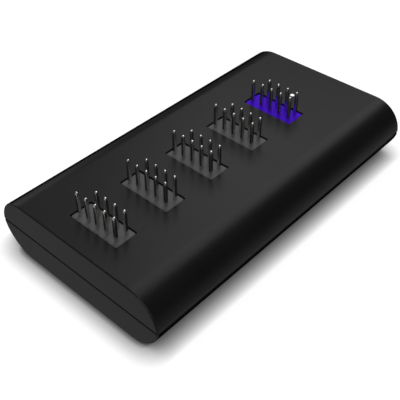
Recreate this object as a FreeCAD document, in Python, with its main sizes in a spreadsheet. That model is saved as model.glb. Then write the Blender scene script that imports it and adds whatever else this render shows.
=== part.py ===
import FreeCAD, Part
import math
import os
import Sketcher

# Internal hub with pin headers, in millimetres.
# X runs along the case from the near end to the power inlet, Y across it, Z up from the underside.
# The origin is the middle of the underside.

SIZES = {
    # Header layout along the case
    "near_margin": 8.0,
    "header_pitch": 13.0,
    "inlet_setback": 10.5,
    # Case
    "case_width": 44.0,
    "case_height": 13.3,
    "parting_height": 6.4,
    "lower_side_radius": 7.5,
    "side_wall": 1.8,
    "end_wall": 2.0,
    "end_edge_bevel": 0.3,
    "seam_gap": 0.25,
    "lip_height": 1.3,
    "lip_thickness": 0.8,
    "lip_clearance": 0.1,
    # Pin headers
    "pin_pitch": 2.54,
    "base_height": 2.54,
    "base_notch": 0.3,
    "header_recess": 0.3,
    "window_clearance": 0.15,
    "pin_width": 0.64,
    "pin_reach": 6.0,
    "pin_tail": 3.0,
    "pin_tip_length": 1.05,
    "pin_tip_width": 0.3,
    # Status light
    "light_setback": 7.2,
    "light_diameter": 1.0,
    "light_clearance": 0.1,
    "light_recess": 0.05,
    "light_flange_diameter": 2.2,
    "lamp_length": 1.6,
    "lamp_width": 0.8,
    "lamp_base_height": 0.2,
    "lamp_lens_length": 1.0,
    "lamp_lens_height": 0.2,
    "lamp_gap": 0.1,
    # Circuit board
    "board_thickness": 1.6,
    "board_end_gap": 1.0,
    "board_side_gap": 0.7,
    "board_corner_radius": 1.5,
    "pin_hole_clearance": 0.1,
    # Posts and screws
    "post_edge_gap": 6.0,
    "post_diameter": 6.0,
    "spigot_diameter": 3.9,
    "spigot_clearance": 0.2,
    "screw_diameter": 2.2,
    "screw_head_diameter": 4.0,
    "screw_head_height": 1.4,
    "screw_head_bevel": 0.3,
    "screw_head_clearance": 0.3,
    "screw_seat_depth": 2.4,
    "screw_clearance": 0.2,
    "screw_roof": 1.5,
    "screw_end_gap": 0.4,
    "screw_slot_length": 2.4,
    "screw_slot_width": 0.6,
    "screw_slot_depth": 0.7,
    # Magnets and their wells
    "magnet_diameter": 12.0,
    "magnet_height": 3.0,
    "magnet_floor": 0.8,
    "magnet_clearance": 0.1,
    "well_wall": 1.0,
    "well_height": 1.5,
    # Power inlet
    "inlet_depth": 9.0,
    "inlet_recess": 0.5,
    "inlet_height": 5.4,
    "inlet_block": 3.0,
    "inlet_clearance": 0.2,
    "guide_thickness": 1.4,
    "guide_gap": 1.0,
    "tongue_thickness": 1.25,
    "tongue_margin": 1.1,
    "tongue_setback": 0.6,
    "key_width": 1.1,
    "key_height": 1.2,
    "contact_pitch": 1.27,
    "contact_width": 0.84,
    "contact_thickness": 0.2,
    "contact_setback": 0.5,
    "contact_slot_gap": 0.05,
    # Parts under the board
    "component_edge_gap": 6.5,
    "chip_size": 7.0,
    "chip_height": 1.0,
    "chip_bevel": 0.2,
    "chip_mark_diameter": 0.9,
    "chip_mark_depth": 0.1,
    "chip_mark_inset": 1.1,
    "crystal_length": 5.0,
    "crystal_width": 3.2,
    "crystal_base_height": 0.6,
    "crystal_lid_height": 0.6,
    "crystal_lid_step": 0.3,
    "capacitor_diameter": 6.3,
    "capacitor_height": 5.0,
    "capacitor_foot_height": 1.0,
    "capacitor_crimp_height": 0.6,
    "capacitor_crimp_depth": 0.3,
    "capacitor_bevel": 0.4,
    "fuse_length": 4.5,
    "fuse_width": 3.2,
    "fuse_height": 0.9,
    "passive_length": 2.0,
    "passive_width": 1.2,
    "passive_height": 0.6,
    "passive_spacing": 2.2,
}

HEADER_COUNT = 5
PIN_COLUMNS = 5
CONTACT_COUNT = 15
PORT_COUNT = HEADER_COUNT - 1
PASSIVE_ROWS = 3
SHEET_NAME = "sizes"
EDGE_TOLERANCE = 1e-4

doc = FreeCAD.newDocument("internal_hub")
sheet = doc.addObject("Spreadsheet::Sheet", SHEET_NAME)
for sheet_row, (alias, value) in enumerate(SIZES.items(), start=1):
    sheet.set(f"A{sheet_row}", alias)
    sheet.set(f"B{sheet_row}", str(value))
    sheet.setAlias(f"B{sheet_row}", alias)
doc.recompute()


def size(alias):
    return f"{SHEET_NAME}.{alias}"


def minus(expression):
    return f"-({expression})"


# Case length and the heights that the pieces share
CASE_LENGTH = (
    f"({size('near_margin')} + {HEADER_COUNT - 1} * {size('header_pitch')} + {size('inlet_setback')}"
    f" + {size('inlet_depth')} + {size('inlet_recess')})"
)
HALF_LENGTH = f"({CASE_LENGTH} / 2)"
HALF_WIDTH = f"({size('case_width')} / 2)"
CAVITY_HALF_LENGTH = f"({HALF_LENGTH} - {size('end_wall')})"
CAVITY_HALF_WIDTH = f"({HALF_WIDTH} - {size('side_wall')})"
RIM_HEIGHT = f"({size('parting_height')} + {size('seam_gap')})"
BOARD_TOP = f"({size('case_height')} - {size('header_recess')} - {size('base_height')})"
BOARD_UNDERSIDE = f"({BOARD_TOP} - {size('board_thickness')})"

# Centres of the round sides: the upper quarter circle ends at the parting line
UPPER_RADIUS = f"({size('case_height')} - {size('parting_height')})"
UPPER_CENTRE = f"({HALF_WIDTH} - {UPPER_RADIUS})"
LOWER_CENTRE = (
    f"({HALF_WIDTH} - sqrt(2 * {size('lower_side_radius')} * {size('parting_height')}"
    f" - {size('parting_height')} ^ 2))"
)

# The board fills the cavity at the height of its upper face
BOARD_HALF_LENGTH = f"({CAVITY_HALF_LENGTH} - {size('board_end_gap')})"
BOARD_HALF_WIDTH = (
    f"({UPPER_CENTRE} + sqrt(({UPPER_RADIUS} - {size('side_wall')}) ^ 2"
    f" - ({BOARD_TOP} - {size('parting_height')}) ^ 2) - {size('board_side_gap')})"
)
POST_Y = f"({BOARD_HALF_WIDTH} - {size('post_edge_gap')})"
COMPONENT_Y = f"({BOARD_HALF_WIDTH} - {size('component_edge_gap')})"

# The inlet's tongue lies at half its height, with the contacts on its upper face
TONGUE_HALF_WIDTH = f"({CONTACT_COUNT - 1} * {size('contact_pitch')} / 2 + {size('tongue_margin')})"
INLET_HALF_WIDTH = f"({TONGUE_HALF_WIDTH} + {size('guide_gap')} + {size('guide_thickness')})"
TONGUE_TOP = f"(({size('tongue_thickness')} - {size('inlet_height')}) / 2)"
TONGUE_UNDERSIDE = f"({minus(size('tongue_thickness'))} / 2 - {size('inlet_height')} / 2)"
INLET_FRONT = f"({HALF_LENGTH} - {size('inlet_recess')})"


def header_x(index):
    return f"({size('near_margin')} + {index} * {size('header_pitch')} - {HALF_LENGTH})"


def between_headers_x(index):
    return f"({header_x(index)} + {size('header_pitch')} / 2)"


# Screw posts stand between the first two headers, and between the last header's pins and the inlet
NEAR_POST_X = between_headers_x(0)
FAR_POST_X = (
    f"({header_x(HEADER_COUNT - 1)} + (({size('pin_pitch')} + {size('pin_width')}) / 2"
    f" + {size('inlet_setback')}) / 2)"
)
NEAR_MAGNET_X = between_headers_x(1)
LIGHT_X = f"({header_x(HEADER_COUNT - 1)} + {size('light_setback')})"
MAGNET_SPACING = f"(2 * {size('header_pitch')})"


def new_body(name, x="0", y="0", z="0"):
    body = doc.addObject("PartDesign::Body", name)
    body.Label = name
    for axis, expression in zip("xyz", (x, y, z)):
        body.setExpression(f"Placement.Base.{axis}", expression)
    return body


def origin_feature(body, role):
    return next(feature for feature in body.Origin.OriginFeatures if feature.Role == role)


def new_sketch(body, name, plane="XY_Plane", offset="0"):
    sketch = body.newObject("Sketcher::SketchObject", f"{body.Name}_{name}")
    sketch.AttachmentSupport = [(origin_feature(body, plane), "")]
    sketch.MapMode = "FlatFace"
    sketch.setExpression("AttachmentOffset.Base.z", offset)
    return sketch


def bind_constraint(sketch, constraint, expression):
    index = sketch.addConstraint(constraint)
    sketch.setExpression(f"Constraints[{index}]", expression)


def hold_point(sketch, element, vertex, x, y):
    point = sketch.getPoint(element, vertex)
    bind_constraint(sketch, Sketcher.Constraint("DistanceX", -1, 1, element, vertex, point.x), x)
    bind_constraint(sketch, Sketcher.Constraint("DistanceY", -1, 1, element, vertex, point.y), y)


def add_polygon(sketch, corners):
    count = len(corners)
    first = sketch.GeometryCount
    turn = 2 * math.pi / count
    start = [FreeCAD.Vector(math.cos(turn * i), math.sin(turn * i), 0) for i in range(count)]
    for i in range(count):
        sketch.addGeometry(Part.LineSegment(start[i], start[(i + 1) % count]))
    for i, (x, y) in enumerate(corners):
        sketch.addConstraint(Sketcher.Constraint("Coincident", first + i, 2, first + (i + 1) % count, 1))
        hold_point(sketch, first + i, 1, x, y)


def add_rectangle(sketch, low_x, high_x, low_y, high_y):
    add_polygon(sketch, [(low_x, low_y), (high_x, low_y), (high_x, high_y), (low_x, high_y)])


def add_centred_rectangle(sketch, half_x, half_y):
    add_rectangle(sketch, minus(half_x), half_x, minus(half_y), half_y)


def add_circle(sketch, x, y, diameter):
    circle = sketch.addGeometry(Part.Circle(FreeCAD.Vector(), FreeCAD.Vector(0, 0, 1), 1.0))
    hold_point(sketch, circle, 3, x, y)
    bind_constraint(sketch, Sketcher.Constraint("Diameter", circle, 2.0), diameter)


def add_post_circles(sketch, diameter):
    for x in (NEAR_POST_X, FAR_POST_X):
        for y in (minus(POST_Y), POST_Y):
            add_circle(sketch, x, y, diameter)


def add_round_sided_section(sketch, centre_y, centre_z, radius, cut_z, upward):
    """A flat face, an arc tangent to it at each side, and a straight cut across the arcs' other ends."""
    side = 1 if upward else -1
    reach = SIZES["parting_height"]
    spread = SIZES["case_width"] / 2 - reach
    height = SIZES["parting_height"]
    right = FreeCAD.Vector(spread, height, 0)
    left = FreeCAD.Vector(-spread, height, 0)
    quarter = math.pi / 2
    up = FreeCAD.Vector(0, 0, 1)
    right_span = (0, quarter) if upward else (-quarter, 0)
    left_span = (quarter, 2 * quarter) if upward else (2 * quarter, 3 * quarter)
    right_arc = sketch.addGeometry(Part.ArcOfCircle(Part.Circle(right, up, reach), *right_span))
    left_arc = sketch.addGeometry(Part.ArcOfCircle(Part.Circle(left, up, reach), *left_span))
    rise = FreeCAD.Vector(0, side * reach, 0)
    out = FreeCAD.Vector(reach, 0, 0)
    flat = sketch.addGeometry(Part.LineSegment(right + rise, left + rise))
    cut = sketch.addGeometry(Part.LineSegment(left - out, right + out))
    right_flat_end, right_cut_end = (2, 1) if upward else (1, 2)
    left_flat_end, left_cut_end = (1, 2) if upward else (2, 1)
    sketch.addConstraint(Sketcher.Constraint("Tangent", right_arc, right_flat_end, flat, 1))
    sketch.addConstraint(Sketcher.Constraint("Tangent", flat, 2, left_arc, left_flat_end))
    sketch.addConstraint(Sketcher.Constraint("Coincident", left_arc, left_cut_end, cut, 1))
    sketch.addConstraint(Sketcher.Constraint("Coincident", cut, 2, right_arc, right_cut_end))
    sketch.addConstraint(Sketcher.Constraint("Horizontal", cut))
    hold_point(sketch, right_arc, 3, centre_y, centre_z)
    hold_point(sketch, left_arc, 3, minus(centre_y), centre_z)
    bind_constraint(sketch, Sketcher.Constraint("Radius", right_arc, reach), radius)
    sketch.addConstraint(Sketcher.Constraint("Equal", right_arc, left_arc))
    bind_constraint(sketch, Sketcher.Constraint("DistanceY", -1, 1, cut, 1, height), cut_z)


def add_feature(body, kind, sketch, name, length, symmetric=False, reverse=False):
    feature = body.newObject(f"PartDesign::{kind}", f"{body.Name}_{name}")
    feature.Profile = sketch
    feature.setExpression("Length", length)
    feature.Reversed = reverse
    if symmetric:
        feature.SideType = "Symmetric"
    sketch.Visibility = False
    body.Tip = feature
    return feature


def pad(body, sketch, name, length, **options):
    return add_feature(body, "Pad", sketch, name, length, **options)


def pocket(body, sketch, name, length, **options):
    return add_feature(body, "Pocket", sketch, name, length, **options)


def revolve(body, sketch, name):
    feature = body.newObject("PartDesign::Revolution", f"{body.Name}_{name}")
    feature.Profile = sketch
    feature.ReferenceAxis = (sketch, ["V_Axis"])
    feature.Angle = 360
    body.Tip = feature
    return feature


def repeat(body, features, name, axis, spacing, count, second=None):
    """Copies along an axis of the body, and along a second one given as axis, spacing and count."""
    pattern = body.newObject("PartDesign::LinearPattern", f"{body.Name}_{name}")
    pattern.Originals = features
    pattern.Direction = (origin_feature(body, axis), [""])
    pattern.Mode = "Spacing"
    pattern.setExpression("Offset", spacing)
    pattern.Occurrences = count
    if second:
        second_axis, second_spacing, second_count = second
        pattern.Direction2 = (origin_feature(body, second_axis), [""])
        pattern.Mode2 = "Spacing"
        pattern.setExpression("Offset2", second_spacing)
        pattern.Occurrences2 = second_count
        pattern.Spacings2 = pattern.Spacings[:1] * (second_count - 1)
    body.Tip = pattern
    return pattern


def dress_edges(body, kind, base, name, amount, chosen):
    """A fillet or chamfer on the edges of the base feature that the test picks out."""
    doc.recompute()
    edges = [f"Edge{i}" for i, edge in enumerate(base.Shape.Edges, start=1) if chosen(edge.BoundBox)]
    feature = body.newObject(f"PartDesign::{kind}", f"{body.Name}_{name}")
    feature.Base = (base, edges)
    feature.setExpression("Radius" if kind == "Fillet" else "Size", amount)
    body.Tip = feature
    return feature


def in_end_face(box):
    return box.XLength < EDGE_TOLERANCE


def upright(box):
    return box.XLength < EDGE_TOLERANCE and box.YLength < EDGE_TOLERANCE


def cut_inlet_opening(body):
    sketch = new_sketch(body, "inlet_opening_sketch", "YZ_Plane", HALF_LENGTH)
    half_opening = f"({INLET_HALF_WIDTH} + {size('inlet_clearance')})"
    low = f"{BOARD_UNDERSIDE} - {size('inlet_height')} - {size('inlet_clearance')}"
    high = f"{BOARD_UNDERSIDE} + {size('inlet_clearance')}"
    add_rectangle(sketch, minus(half_opening), half_opening, low, high)
    pocket(body, sketch, "inlet_opening", f"{size('end_wall')} + {size('inlet_recess')}")


def make_top_cover():
    body = new_body("top_cover")
    section = new_sketch(body, "section", "YZ_Plane")
    add_round_sided_section(section, UPPER_CENTRE, size("parting_height"), UPPER_RADIUS, RIM_HEIGHT, True)
    block = pad(body, section, "block", CASE_LENGTH, symmetric=True)
    rim_height = SIZES["parting_height"] + SIZES["seam_gap"]
    dress_edges(
        body, "Chamfer", block, "end_edges", size("end_edge_bevel"),
        lambda box: in_end_face(box) and box.ZMax > rim_height + EDGE_TOLERANCE,
    )

    cavity = new_sketch(body, "cavity_section", "YZ_Plane")
    cavity_radius = f"({UPPER_RADIUS} - {size('side_wall')})"
    parting = size("parting_height")
    add_round_sided_section(cavity, UPPER_CENTRE, parting, cavity_radius, parting, True)
    pocket(body, cavity, "cavity", f"2 * {CAVITY_HALF_LENGTH}", symmetric=True)

    rebate = new_sketch(body, "rebate_sketch", offset=parting)
    reach = f"{size('lip_thickness')} + {size('lip_clearance')}"
    add_centred_rectangle(rebate, f"({CAVITY_HALF_LENGTH} + {reach})", f"({CAVITY_HALF_WIDTH} + {reach})")
    pocket(body, rebate, "rebate", size("lip_height"), reverse=True)

    window = new_sketch(body, "window_sketch", offset=size("case_height"))
    half_x = f"({size('pin_pitch')} + {size('window_clearance')})"
    half_y = f"({PIN_COLUMNS} * {size('pin_pitch')} / 2 + {size('window_clearance')})"
    first_x = header_x(0)
    add_rectangle(window, f"{first_x} - {half_x}", f"{first_x} + {half_x}", minus(half_y), half_y)
    window_cut = pocket(body, window, "window", f"{size('header_recess')} + {size('base_height')}")
    repeat(body, [window_cut], "windows", "X_Axis", size("header_pitch"), HEADER_COUNT)

    light_hole = new_sketch(body, "light_hole_sketch", offset=size("case_height"))
    add_circle(light_hole, LIGHT_X, "0", f"{size('light_diameter')} + 2 * {size('light_clearance')}")
    pocket(body, light_hole, "light_hole", size("side_wall"))

    bosses = new_sketch(body, "boss_sketch", offset=BOARD_TOP)
    add_post_circles(bosses, size("post_diameter"))
    pad(body, bosses, "bosses", f"{size('case_height')} - {size('side_wall')} / 2 - {BOARD_TOP}")

    spigot_end = f"({BOARD_UNDERSIDE} + {size('spigot_clearance')})"
    spigots = new_sketch(body, "spigot_sketch", offset=spigot_end)
    add_post_circles(spigots, size("spigot_diameter"))
    pad(body, spigots, "spigots", size("board_thickness"))

    pilots = new_sketch(body, "pilot_sketch", offset=spigot_end)
    add_post_circles(pilots, size("screw_diameter"))
    pilot_depth = f"{size('case_height')} - {size('screw_roof')} - {spigot_end}"
    pocket(body, pilots, "pilots", pilot_depth, reverse=True)
    cut_inlet_opening(body)
    return body


def make_bottom_cover():
    body = new_body("bottom_cover")
    parting = size("parting_height")
    radius = size("lower_side_radius")
    section = new_sketch(body, "section", "YZ_Plane")
    add_round_sided_section(section, LOWER_CENTRE, radius, radius, parting, False)
    block = pad(body, section, "block", CASE_LENGTH, symmetric=True)
    dress_edges(
        body, "Chamfer", block, "end_edges", size("end_edge_bevel"),
        lambda box: in_end_face(box) and box.ZMin < SIZES["parting_height"] - EDGE_TOLERANCE,
    )

    cavity = new_sketch(body, "cavity_section", "YZ_Plane")
    add_round_sided_section(cavity, LOWER_CENTRE, radius, f"({radius} - {size('side_wall')})", parting, False)
    pocket(body, cavity, "cavity", f"2 * {CAVITY_HALF_LENGTH}", symmetric=True)

    lip = new_sketch(body, "lip_sketch", offset=parting)
    reach = size("lip_thickness")
    add_centred_rectangle(lip, f"({CAVITY_HALF_LENGTH} + {reach})", f"({CAVITY_HALF_WIDTH} + {reach})")
    add_centred_rectangle(lip, CAVITY_HALF_LENGTH, CAVITY_HALF_WIDTH)
    pad(body, lip, "lip", size("lip_height"))

    posts = new_sketch(body, "post_sketch", offset=f"{size('side_wall')} / 2")
    add_post_circles(posts, size("post_diameter"))
    pad(body, posts, "posts", f"{BOARD_UNDERSIDE} - {size('side_wall')} / 2")

    screw_holes = new_sketch(body, "screw_hole_sketch", offset=BOARD_UNDERSIDE)
    add_post_circles(screw_holes, f"{size('screw_diameter')} + 2 * {size('screw_clearance')}")
    pocket(body, screw_holes, "screw_holes", BOARD_UNDERSIDE)

    head_seats = new_sketch(body, "head_seat_sketch")
    add_post_circles(head_seats, f"{size('screw_head_diameter')} + 2 * {size('screw_head_clearance')}")
    pocket(body, head_seats, "head_seats", size("screw_seat_depth"), reverse=True)

    well_top = f"({size('side_wall')} + {size('well_height')})"
    well_bore = f"{size('magnet_diameter')} + 2 * {size('magnet_clearance')}"
    walls = new_sketch(body, "well_wall_sketch", offset=f"{size('side_wall')} / 2")
    wells = new_sketch(body, "well_sketch", offset=well_top)
    for spacing in ("0", MAGNET_SPACING):
        magnet_x = f"{NEAR_MAGNET_X} + {spacing}"
        add_circle(walls, magnet_x, "0", f"{well_bore} + 2 * {size('well_wall')}")
        add_circle(wells, magnet_x, "0", well_bore)
    pad(body, walls, "well_walls", f"{well_top} - {size('side_wall')} / 2")
    pocket(body, wells, "wells", f"{well_top} - {size('magnet_floor')}")
    cut_inlet_opening(body)
    return body


def make_circuit_board():
    body = new_body("circuit_board", z=BOARD_UNDERSIDE)
    outline = new_sketch(body, "outline")
    add_centred_rectangle(outline, BOARD_HALF_LENGTH, BOARD_HALF_WIDTH)
    plate = pad(body, outline, "plate", size("board_thickness"))
    dress_edges(body, "Fillet", plate, "corners", size("board_corner_radius"), upright)

    post_holes = new_sketch(body, "post_hole_sketch", offset=size("board_thickness"))
    add_post_circles(post_holes, f"{size('spigot_diameter')} + 2 * {size('spigot_clearance')}")
    pocket(body, post_holes, "post_holes", size("board_thickness"))

    pin_holes = new_sketch(body, "pin_hole_sketch", offset=size("board_thickness"))
    hole_width = f"({size('pin_width')} + 2 * {size('pin_hole_clearance')})"
    for x, y in pin_places():
        add_pin_square(pin_holes, f"{header_x(0)} + {x}", y, hole_width)
    holes = pocket(body, pin_holes, "pin_holes", size("board_thickness"))
    repeat(body, [holes], "header_holes", "X_Axis", size("header_pitch"), HEADER_COUNT)
    return body


def pin_rows():
    """The two rows of a header as x, first y and pin count: the far row lacks the last pin, as a key."""
    first_y = f"({minus(size('pin_pitch'))} * {(PIN_COLUMNS - 1) / 2})"
    half_pitch = f"({size('pin_pitch')} / 2)"
    return ((minus(half_pitch), first_y, PIN_COLUMNS), (half_pitch, first_y, PIN_COLUMNS - 1))


def pin_places():
    return [
        (x, f"({first_y} + {column} * {size('pin_pitch')})")
        for x, first_y, count in pin_rows()
        for column in range(count)
    ]


def add_pin_square(sketch, x, y, width):
    half = f"{width} / 2"
    add_rectangle(sketch, f"{x} - {half}", f"{x} + {half}", f"{y} - {half}", f"{y} + {half}")


def make_header_base(name, index):
    """An insulator of one notched cell for each pair of pins, with a square hole for each pin."""
    body = new_body(name, x=header_x(index), z=BOARD_TOP)
    cell = new_sketch(body, "cell")
    half_x = size("pin_pitch")
    notch = size("base_notch")
    middle_y = pin_rows()[0][1]
    low_y = f"{middle_y} - {size('pin_pitch')} / 2"
    high_y = f"{middle_y} + {size('pin_pitch')} / 2"
    add_polygon(cell, [
        (f"{notch} - {half_x}", low_y),
        (f"{half_x} - {notch}", low_y),
        (half_x, f"{low_y} + {notch}"),
        (half_x, f"{high_y} - {notch}"),
        (f"{half_x} - {notch}", high_y),
        (f"{notch} - {half_x}", high_y),
        (minus(half_x), f"{high_y} - {notch}"),
        (minus(half_x), f"{low_y} + {notch}"),
    ])
    first_cell = pad(body, cell, "first_cell", size("base_height"))
    repeat(body, [first_cell], "cells", "Y_Axis", size("pin_pitch"), PIN_COLUMNS)
    for row, (x, first_y, count) in enumerate(pin_rows(), start=1):
        square = new_sketch(body, f"hole_sketch_{row}", offset=size("base_height"))
        add_pin_square(square, x, first_y, size("pin_width"))
        hole = pocket(body, square, f"hole_{row}", size("base_height"))
        repeat(body, [hole], f"hole_row_{row}", "Y_Axis", size("pin_pitch"), count)
    return body


def make_header_pins(name, index):
    """Square pins through the insulator and the board, tapered on all four sides at both ends."""
    body = new_body(name, x=header_x(index), z=BOARD_TOP)
    half = f"({size('pin_width')} / 2)"
    tip_half = f"({size('pin_tip_width')} / 2)"
    low = minus(size("pin_tail"))
    high = f"({size('base_height')} + {size('pin_reach')})"
    shaft_low = f"({low} + {size('pin_tip_length')})"
    shaft_high = f"({high} - {size('pin_tip_length')})"
    for row, (x, first_y, count) in enumerate(pin_rows(), start=1):
        side = new_sketch(body, f"side_{row}", "XZ_Plane", offset=minus(first_y))
        add_polygon(side, [
            (f"{x} - {tip_half}", low),
            (f"{x} + {tip_half}", low),
            (f"{x} + {half}", shaft_low),
            (f"{x} + {half}", shaft_high),
            (f"{x} + {tip_half}", high),
            (f"{x} - {tip_half}", high),
            (f"{x} - {half}", shaft_high),
            (f"{x} - {half}", shaft_low),
        ])
        shaft = pad(body, side, f"shaft_{row}", size("pin_width"), symmetric=True)
        corners = new_sketch(body, f"corners_{row}", "YZ_Plane", offset=x)
        for way in ("-", "+"):
            for end, taper_start in ((low, shaft_low), (high, shaft_high)):
                add_polygon(corners, [
                    (f"{first_y} {way} {tip_half}", end),
                    (f"{first_y} {way} {half}", end),
                    (f"{first_y} {way} {half}", taper_start),
                ])
        tapers = pocket(body, corners, f"tapers_{row}", size("pin_width"), symmetric=True)
        repeat(body, [shaft, tapers], f"pin_row_{row}", "Y_Axis", size("pin_pitch"), count)
    return body


def make_inlet_housing():
    """Rear block, keyed tongue and two side guides, moulded in one, under the board's far end."""
    rear_x = f"({INLET_FRONT} - {size('inlet_depth')})"
    body = new_body("power_inlet_housing", x=rear_x, z=BOARD_UNDERSIDE)
    depth = size("inlet_depth")
    block_depth = size("inlet_block")
    inner_guide = f"({INLET_HALF_WIDTH} - {size('guide_thickness')})"
    plan = new_sketch(body, "plan")
    add_polygon(plan, [
        ("0", minus(INLET_HALF_WIDTH)),
        (depth, minus(INLET_HALF_WIDTH)),
        (depth, minus(inner_guide)),
        (block_depth, minus(inner_guide)),
        (block_depth, inner_guide),
        (depth, inner_guide),
        (depth, INLET_HALF_WIDTH),
        ("0", INLET_HALF_WIDTH),
    ])
    pad(body, plan, "block_and_guides", size("inlet_height"), reverse=True)

    tongue = new_sketch(body, "tongue_section", "YZ_Plane", f"{block_depth} / 2")
    key_side = f"({TONGUE_HALF_WIDTH} - {size('key_width')})"
    key_end = f"({TONGUE_UNDERSIDE} - {size('key_height')})"
    add_polygon(tongue, [
        (minus(TONGUE_HALF_WIDTH), TONGUE_TOP),
        (minus(TONGUE_HALF_WIDTH), TONGUE_UNDERSIDE),
        (key_side, TONGUE_UNDERSIDE),
        (key_side, key_end),
        (TONGUE_HALF_WIDTH, key_end),
        (TONGUE_HALF_WIDTH, TONGUE_TOP),
    ])
    pad(body, tongue, "tongue", f"{depth} - {size('tongue_setback')} - {block_depth} / 2")

    slot = new_sketch(body, "slot_section", "YZ_Plane")
    slot_half = f"({size('contact_width')} / 2 + {size('contact_slot_gap')})"
    slot_y = f"(-{(CONTACT_COUNT - 1) / 2} * {size('contact_pitch')})"
    slot_top = f"{TONGUE_TOP} + {size('contact_thickness')} + {size('contact_slot_gap')}"
    add_rectangle(slot, f"{slot_y} - {slot_half}", f"{slot_y} + {slot_half}", TONGUE_TOP, slot_top)
    slot_cut = pocket(body, slot, "slot", block_depth, reverse=True)
    repeat(body, [slot_cut], "slots", "Y_Axis", size("contact_pitch"), CONTACT_COUNT)
    return body


def make_inlet_contacts():
    """Flat contacts along the tongue, through the rear block and up to the board."""
    rear_x = f"({INLET_FRONT} - {size('inlet_depth')})"
    first_y = f"(-{(CONTACT_COUNT - 1) / 2} * {size('contact_pitch')})"
    body = new_body("power_inlet_contacts", x=rear_x, y=first_y, z=BOARD_UNDERSIDE)
    thickness = size("contact_thickness")
    front = f"({size('inlet_depth')} - {size('tongue_setback')} - {size('contact_setback')})"
    side = new_sketch(body, "side", "XZ_Plane")
    add_polygon(side, [
        (minus(thickness), TONGUE_TOP),
        (front, TONGUE_TOP),
        (front, f"{TONGUE_TOP} + {thickness}"),
        ("0", f"{TONGUE_TOP} + {thickness}"),
        ("0", "0"),
        (minus(thickness), "0"),
    ])
    strip = pad(body, side, "strip", size("contact_width"), symmetric=True)
    repeat(body, [strip], "strips", "Y_Axis", size("contact_pitch"), CONTACT_COUNT)
    return body


def make_status_light_guide():
    """A turned plug through the top wall, its flange between the ceiling and the lamp below."""
    body = new_body("status_light_guide", x=LIGHT_X, z=size("case_height"))
    shank = f"({size('light_diameter')} / 2)"
    flange = f"({size('light_flange_diameter')} / 2)"
    top = minus(size("light_recess"))
    ceiling = minus(size("side_wall"))
    lamp_top = f"({BOARD_TOP} + {size('lamp_base_height')} + {size('lamp_lens_height')})"
    foot = f"({lamp_top} + {size('lamp_gap')} - {size('case_height')})"
    profile = new_sketch(body, "profile", "XZ_Plane")
    add_polygon(profile, [
        ("0", foot),
        (flange, foot),
        (flange, ceiling),
        (shank, ceiling),
        (shank, top),
        ("0", top),
    ])
    revolve(body, profile, "plug")
    return body


def make_status_lamp():
    """A small lamp on the board's upper face: a base with a narrower lens on it."""
    body = new_body("status_lamp", x=LIGHT_X, z=BOARD_TOP)
    half_y = f"({size('lamp_width')} / 2)"
    base = new_sketch(body, "base_sketch")
    add_centred_rectangle(base, f"({size('lamp_length')} / 2)", half_y)
    pad(body, base, "base", size("lamp_base_height"))
    lens = new_sketch(body, "lens_sketch", offset=size("lamp_base_height"))
    add_centred_rectangle(lens, f"({size('lamp_lens_length')} / 2)", half_y)
    pad(body, lens, "lens", size("lamp_lens_height"))
    return body


def make_hub_controller(number):
    body = new_body(
        f"hub_controller_{number}", x=between_headers_x(number), y=minus(COMPONENT_Y), z=BOARD_UNDERSIDE
    )
    half = f"({size('chip_size')} / 2)"
    outline = new_sketch(body, "outline")
    add_centred_rectangle(outline, half, half)
    package = pad(body, outline, "package", size("chip_height"), reverse=True)
    dress_edges(
        body, "Chamfer", package, "bevel", size("chip_bevel"),
        lambda box: box.ZMax < -SIZES["chip_height"] / 2,
    )
    mark = new_sketch(body, "mark_sketch", offset=minus(size("chip_height")))
    corner = f"({half} - {size('chip_mark_inset')})"
    add_circle(mark, minus(corner), corner, size("chip_mark_diameter"))
    pocket(body, mark, "mark", size("chip_mark_depth"), reverse=True)
    return body


def make_clock_crystal(number):
    body = new_body(
        f"clock_crystal_{number}", x=between_headers_x(number), y=COMPONENT_Y, z=BOARD_UNDERSIDE
    )
    half_x = f"({size('crystal_width')} / 2)"
    half_y = f"({size('crystal_length')} / 2)"
    base = new_sketch(body, "base_sketch")
    add_centred_rectangle(base, half_x, half_y)
    pad(body, base, "base", size("crystal_base_height"), reverse=True)
    lid = new_sketch(body, "lid_sketch", offset=minus(size("crystal_base_height")))
    step = size("crystal_lid_step")
    add_centred_rectangle(lid, f"({half_x} - {step})", f"({half_y} - {step})")
    pad(body, lid, "lid", size("crystal_lid_height"), reverse=True)
    return body


def make_bulk_capacitors():
    """Cans with a crimp above the foot, one at each side of the board."""
    x = between_headers_x(HEADER_COUNT - 2)
    body = new_body("bulk_capacitors", x=x, y=minus(COMPONENT_Y), z=BOARD_UNDERSIDE)
    half = f"({size('capacitor_diameter')} / 2)"
    waist = f"{half} - {size('capacitor_crimp_depth')}"
    foot = size("capacitor_foot_height")
    crimp_end = f"({foot} + {size('capacitor_crimp_height')})"
    height = size("capacitor_height")
    bevel = size("capacitor_bevel")
    profile = new_sketch(body, "profile", "XZ_Plane")
    add_polygon(profile, [
        ("0", "0"),
        (half, "0"),
        (half, minus(foot)),
        (waist, f"{minus(foot)} - {size('capacitor_crimp_height')} / 2"),
        (half, minus(crimp_end)),
        (half, f"{bevel} - {height}"),
        (f"{half} - {bevel}", minus(height)),
        ("0", minus(height)),
    ])
    can = revolve(body, profile, "can")
    repeat(body, [can], "cans", "Y_Axis", f"2 * {COMPONENT_Y}", 2)
    return body


def make_port_fuses():
    body = new_body("port_fuses", x=header_x(0), y=COMPONENT_Y, z=BOARD_UNDERSIDE)
    outline = new_sketch(body, "outline")
    add_centred_rectangle(outline, f"({size('fuse_length')} / 2)", f"({size('fuse_width')} / 2)")
    fuse = pad(body, outline, "fuse", size("fuse_height"), reverse=True)
    repeat(body, [fuse], "fuses", "X_Axis", size("header_pitch"), PORT_COUNT)
    return body


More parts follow.
